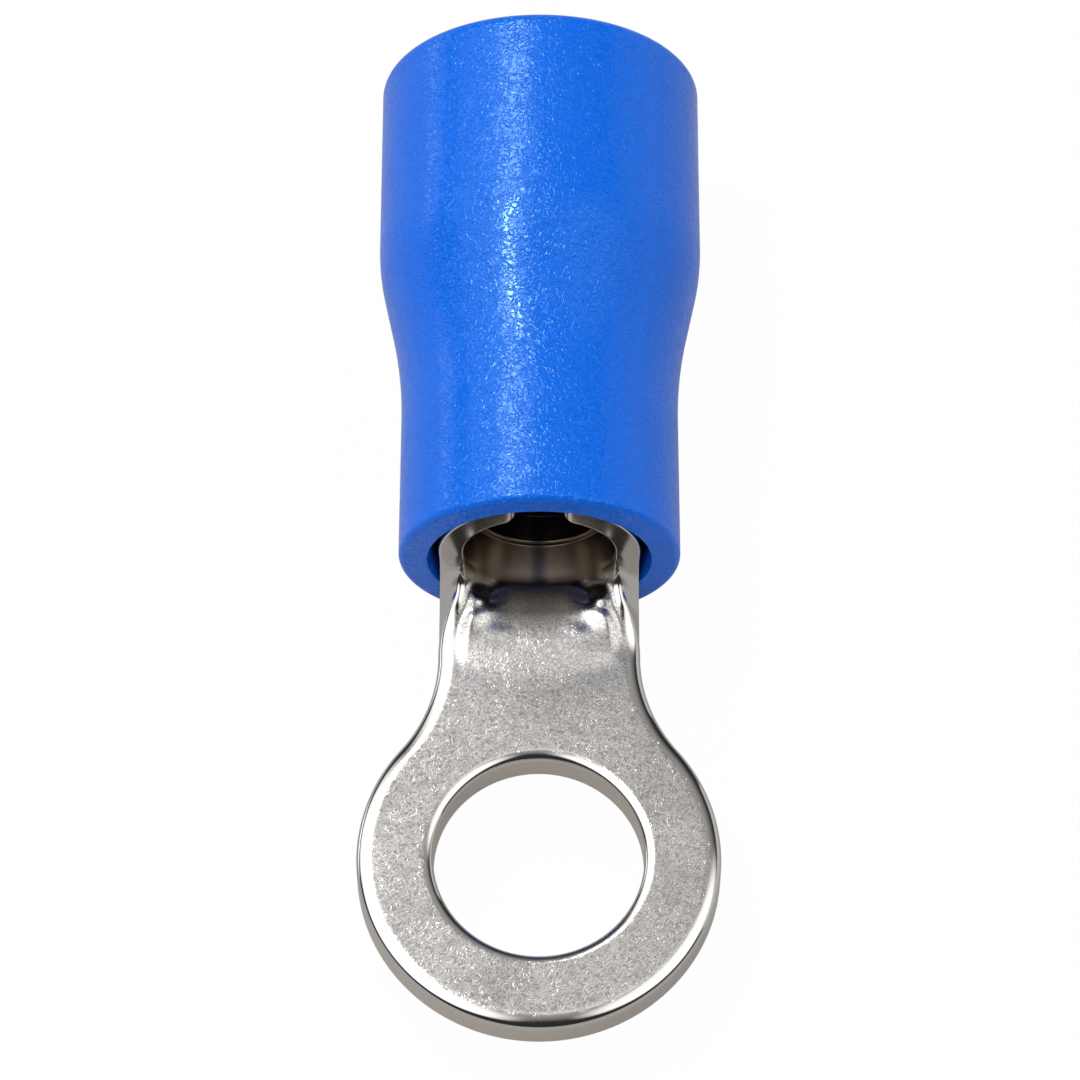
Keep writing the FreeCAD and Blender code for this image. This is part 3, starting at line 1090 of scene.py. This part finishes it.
def fine_relief_group():
    """Relief shared by both finishes: narrow winding ridges of about even spacing, and a broad cloud."""
    name = "fine_relief"
    if name in bpy.data.node_groups:
        return bpy.data.node_groups[name]
    tree = bpy.data.node_groups.new(name, "ShaderNodeTree")
    sockets(tree, "INPUT", "NodeSocketVector", ["Place"])
    sockets(tree, "INPUT", "NodeSocketFloat", ["Scale", "Winding"])
    sockets(tree, "OUTPUT", "NodeSocketFloat", ["Height", "Ridges", "Cloud"])
    make = NodeMaths(tree)
    given = make.node("NodeGroupInput").outputs

    def noise(fineness, detail, winding=0.0):
        scale = make.times(given["Scale"], fineness)
        inputs = {"Vector": given["Place"], "Scale": scale, "Detail": detail, "Distortion": winding}
        return make.node("ShaderNodeTexNoise", inputs).outputs[0]

    knots, swell, cloud = noise(1.0, 0.0, given["Winding"]), noise(0.3, 1.0), noise(0.05, 3.0)
    away = make.maths("ABSOLUTE", make.less(knots, 0.5))
    ridges = make.ranged(away, 0.0, 0.16, 1.0, 0.0)
    height = make.add(make.times(ridges, make.ranged(swell, 0.3, 0.6, 0.5, 1.0)), swell)
    make.node("NodeGroupOutput", {"Height": height, "Ridges": ridges, "Cloud": cloud})
    return tree


def relief(make, place, scale, winding):
    inputs = {"Place": place, "Scale": scale, "Winding": winding}
    return make.node("ShaderNodeGroup", inputs, node_tree=fine_relief_group()).outputs


def attribute(make, name):
    return make.node("ShaderNodeAttribute", attribute_name=name).outputs["Fac"]


def opaque(colour_value):
    return tuple(colour_value) + (1.0,)


def mix_colour(make, amount, a, b):
    made = make.node("ShaderNodeMix", data_type="RGBA")
    make.plug(amount, made.inputs[0])
    make.plug(a, made.inputs[6])
    make.plug(b, made.inputs[7])
    return made.outputs[2]


def tin_plate(finishes):
    """Bright tin: satin flats with a worm-like grain, polished edges, duller cut walls and a bore in painted
    shade.
    """
    material, make, surface = new_material("tin_plate")
    place = make.node("ShaderNodeTexCoord").outputs["Object"]
    grain, cut, bore, hollow = (attribute(make, kind) for kind in KINDS)
    worms = relief(make, place, GRAIN_SCALE, GRAIN_WINDING)
    ragged = make.times(make.less(worms["Height"], 0.9), 0.35)
    grain = make.ranged(make.add(grain, ragged), 0.3, 0.7)
    # Grain tone and painted shade: the tin is darkened between the grain's ridges, and more in the hollow.
    grain_and_groove_shade = make.times(make.times(make.less(1.0, worms["Ridges"]), grain), make.total(0.45, (hollow, 0.3)))
    # Painted shade: over the hammered hollow the tin is mixed towards a darker brown.
    shade = opaque(finishes.tin)
    # Painted shade: the bore mask mixes the tin towards dark brown inside the barrel and on the floor into
    # its mouth.
    for amount, added in (
        (grain_and_groove_shade, finishes.groove), (make.times(hollow, 0.75), finishes.hollow), (bore, finishes.bore),
        (cut, finishes.cut),
    ):
        shade = mix_colour(make, amount, shade, opaque(added))
    make.links.new(shade, surface.inputs["Base Color"])
    surface.inputs["Metallic"].default_value = 1.0
    clouded = make.less(worms["Cloud"], 0.5)
    rough = make.total(0.11, (grain, 0.09), (cut, 0.22), (bore, 0.12), (hollow, 0.36), (clouded, 0.08))
    make.links.new(rough, surface.inputs["Roughness"])
    shear = {"Vector": place, "Scale": SHEAR_SCALE, "Detail": 3.0}
    shear = make.node("ShaderNodeTexNoise", shear).outputs[0]
    height = make.total(
        make.times(make.times(worms["Height"], grain), make.total(1.0, (hollow, 4.0))),
        (make.times(shear, make.total(cut, (bore, 0.3))), 0.5),
    )
    bump = make.node("ShaderNodeBump", {"Height": height, "Strength": 1.0, "Distance": GRAIN_DEPTH})
    make.links.new(bump.outputs[0], surface.inputs["Normal"])
    return material


def blue_plastic(finishes, axis_height, grip_radius):
    """Glossy blue moulded plastic with a fine orange peel, and a bore darkened by painted shade where it
    grips the barrel.
    """
    material, make, surface = new_material("blue_plastic")
    place = make.node("ShaderNodeTexCoord").outputs["Object"]
    peel = relief(make, place, PEEL_SCALE, PEEL_WINDING)
    part = make.node("ShaderNodeSeparateXYZ", {0: place}).outputs
    above = make.less(part["Z"], axis_height)
    away = make.maths("SQRT", make.add(make.times(part["X"], part["X"]), make.times(above, above)))
    # Painted shade: within the grip radius the blue is mixed to near black.
    inside = make.ranged(away, grip_radius + 0.00008, grip_radius + 0.00015, 1.0, 0.0)
    shade = mix_colour(make, inside, opaque(finishes.blue), opaque(finishes.grip_shade))
    make.links.new(shade, surface.inputs["Base Color"])
    rough = make.total(0.17, (make.less(peel["Cloud"], 0.5), 0.08))
    make.links.new(rough, surface.inputs["Roughness"])
    surface.inputs["IOR"].default_value = 1.5
    surface.inputs["Specular Tint"].default_value = (0.55, 0.95, 1.0, 1.0)
    bump = make.node("ShaderNodeBump", {"Height": peel["Height"], "Strength": 1.0, "Distance": PEEL_DEPTH})
    make.links.new(bump.outputs[0], surface.inputs["Normal"])
    return material


# The stage


def studio_direction(turn, lean):
    """Unit vector towards the ceiling, turned right about +Y and leaned back towards +Y, in degrees."""
    turn, lean = math.radians(turn), math.radians(lean)
    return Vector((math.sin(turn) * math.cos(lean), math.sin(lean), math.cos(turn) * math.cos(lean)))


LAMPS = (  # name, turn and lean in degrees at the middle and half of their spans, radiance
    ("key_strip", -19.0, 31.5, 11.0, 4.5, 9.5),
    ("key_spot", -20.0, 13.0, 8.5, 3.2, 44.0),
    ("side_fill", 85.0, 20.0, 25.0, 25.0, 0.6),
)
SCRIMS = (  # turn and lean at the middle, radius of the core and of the rim, all in degrees, and strength
    (-3.0, 21.0, 11.0, 46.0, 0.41),
    (5.0, 12.0, 4.0, 9.0, 1.3),
    (-40.0, 22.0, 12.0, 26.0, 1.5),
    (-34.0, -6.0, 22.0, 34.0, 1.7),
    (36.0, -6.0, 20.0, 32.0, 1.5),
    (-92.0, 28.0, 7.0, 17.0, 2.4),
)
# In reflections the horizon glows from the first height of a unit vector down to the second, this strongly.
HORIZON_GLOW = (0.16, -0.04, 0.4)
# The share of the floor's own glow that the camera and the reflections see, and its dimming in reflections.
FLOOR_SEEN, FLOOR_MIRRORED, FLOOR_DIMMED = 0.98, 0.75, 0.66


def area_lamp(name, turn, lean, half_turn, half_lean, radiance, middle, distance):
    width = 2 * distance * math.tan(math.radians(half_turn))
    height = 2 * distance * math.tan(math.radians(half_lean))
    lamp = bpy.data.lights.new(name, "AREA")
    lamp.shape = "RECTANGLE"
    lamp.size, lamp.size_y = width, height
    lamp.energy = radiance * math.pi * width * height
    made = link_new(name, lamp)
    towards = studio_direction(turn, lean)
    made.location = middle + towards * distance
    made.rotation_euler = towards.to_track_quat("Z", "Y").to_euler()


def mirrored_rays(path):
    return NodeMaths(path.id_data).add(path.outputs["Is Glossy Ray"], path.outputs["Is Transmission Ray"])


def studio_world(settings):
    """White for the camera and at the horizon, and overhead a dark ceiling with glowing scrims."""
    world = bpy.data.worlds.new("white_studio")
    world.use_nodes = True
    world.node_tree.nodes.clear()
    make = NodeMaths(world.node_tree)
    direction = make.node("ShaderNodeTexCoord").outputs["Generated"]
    up = make.node("ShaderNodeSeparateXYZ", {0: direction}).outputs["Z"]
    glow_top, glow_bottom, glow = HORIZON_GLOW
    overhead = make.ranged(up, glow_top, glow_bottom, settings.ceiling, glow)
    for turn, lean, inner, outer, strength in SCRIMS:
        sides = {0: direction, 1: studio_direction(turn, lean)}
        nearness = make.node("ShaderNodeVectorMath", sides, operation="DOT_PRODUCT").outputs["Value"]
        rim, core = math.cos(math.radians(outer)), math.cos(math.radians(inner))
        overhead = make.maths("MAXIMUM", overhead, make.ranged(nearness, rim, core, 0.0, strength))
    path = make.node("ShaderNodeLightPath")
    strength = make.total(
        settings.sky, (path.outputs["Is Camera Ray"], 1.0 - settings.sky),
        (mirrored_rays(path), make.less(overhead, settings.sky)),
    )
    background = make.node("ShaderNodeBackground", {"Color": (1, 1, 1, 1), "Strength": strength})
    make.links.new(background.outputs[0], make.node("ShaderNodeOutputWorld").inputs["Surface"])
    return world


def floor_material(settings):
    """Pale floor that keeps a soft shadow, glows white to the camera and isn't there from beneath."""
    material, make, surface = new_material("pale_floor")
    surface.inputs["Base Color"].default_value = opaque(settings.floor)
    surface.inputs["Roughness"].default_value = 0.9
    surface.inputs["Specular IOR Level"].default_value = 0.0
    path = make.node("ShaderNodeLightPath")
    mirrored = mirrored_rays(path)
    strength = make.less(1.0, make.times(mirrored, FLOOR_DIMMED))
    glow = make.node("ShaderNodeEmission", {"Color": (1, 1, 1, 1), "Strength": strength}).outputs[0]
    seen = make.times(path.outputs["Is Camera Ray"], FLOOR_SEEN)
    glow_share = make.total(seen, (mirrored, FLOOR_MIRRORED))
    mixed = make.node("ShaderNodeMixShader", {0: glow_share, 1: surface.outputs[0], 2: glow}).outputs[0]
    backfacing = make.node("ShaderNodeNewGeometry").outputs["Backfacing"]
    nothing = make.node("ShaderNodeBsdfTransparent").outputs[0]
    beneath = make.node("ShaderNodeMixShader", {0: backfacing, 1: mixed, 2: nothing}).outputs[0]
    output = next(node for node in make.nodes if node.type == "OUTPUT_MATERIAL")
    make.links.new(beneath, output.inputs["Surface"])
    return material


def white_floor(settings, centre, level):
    side = settings.floor_side
    corners = [(x * side, centre + y * side, level) for x, y in ((-1, -1), (1, -1), (1, 1), (-1, 1))]
    mesh = bpy.data.meshes.new("floor")
    mesh.from_pydata(corners, [], [(0, 1, 2, 3)])
    mesh.materials.append(floor_material(settings))
    return link_new("floor", mesh)


def photo_camera(settings):
    camera = bpy.data.cameras.new("camera")
    camera.lens = settings.lens
    camera.sensor_width = 36.0
    camera.clip_start, camera.clip_end = 0.001, 10.0
    made = link_new("camera", camera)
    made.matrix_world = (
        Matrix.Translation(Vector(settings.eye))
        @ Matrix.Rotation(settings.pitch, 4, "X")
        @ Matrix.Rotation(settings.roll, 4, "Z")
    )
    return made


class LUG_OT_stage(bpy.types.Operator):
    """Makes the white floor, the studio light and the camera"""

    bl_idname = "lug.stage"
    bl_label = "Stage"

    def execute(self, context):
        scene = context.scene
        settings = scene.lug_stage
        low, high = cad_box
        centre = (low[1] + high[1]) / 2
        for name in ("floor", "camera", *(lamp[0] for lamp in LAMPS)):
            remove_old(name)
        floor = white_floor(settings, centre, low[2])
        scene.world = studio_world(settings)
        middle = Vector((0.0, centre, (low[2] + high[2]) / 2))
        for lamp in LAMPS:
            area_lamp(*lamp, middle, settings.lamp_distance)
        scene.camera = photo_camera(settings)
        scene.view_settings.view_transform = "Standard"
        return {"FINISHED"}


class LUG_PT_panel(bpy.types.Panel):
    """Lists the pieces and their sizes"""

    bl_label = "Ring Terminal"
    bl_idname = "LUG_PT_panel"
    bl_space_type = "VIEW_3D"
    bl_region_type = "UI"
    bl_category = "Ring Terminal"

    def draw(self, context):
        scene = context.scene
        for label, group, operator in (
            ("Tongue", scene.lug_tongue, None),
            ("Barrel", scene.lug_barrel, "lug.ring_terminal"),
            ("Sleeve", scene.lug_sleeve, "lug.insulating_sleeve"),
            ("Finishes", scene.lug_finishes, None),
            ("Stage", scene.lug_stage, "lug.stage"),
        ):
            box = self.layout.box()
            box.label(text=label)
            for name in group.__annotations__:
                box.prop(group, name)
            if operator:
                box.operator(operator)


GROUPS = (
    ("lug_tongue", TongueSizes), ("lug_barrel", BarrelSizes), ("lug_sleeve", SleeveSizes),
    ("lug_finishes", Finishes), ("lug_stage", StageSettings),
)
CLASSES = (LUG_OT_ring_terminal, LUG_OT_insulating_sleeve, LUG_OT_stage, LUG_PT_panel)


def register():
    for name, group in GROUPS:
        bpy.utils.register_class(group)
        setattr(bpy.types.Scene, name, bpy.props.PointerProperty(type=group))
    for made in CLASSES:
        bpy.utils.register_class(made)


def unregister():
    for made in reversed(CLASSES):
        bpy.utils.unregister_class(made)
    for name, group in reversed(GROUPS):
        delattr(bpy.types.Scene, name)
        bpy.utils.unregister_class(group)


def main():
    register()
    bpy.ops.lug.ring_terminal()
    bpy.ops.lug.insulating_sleeve()
    bpy.ops.lug.stage()


if __name__ == "__main__":
    main()
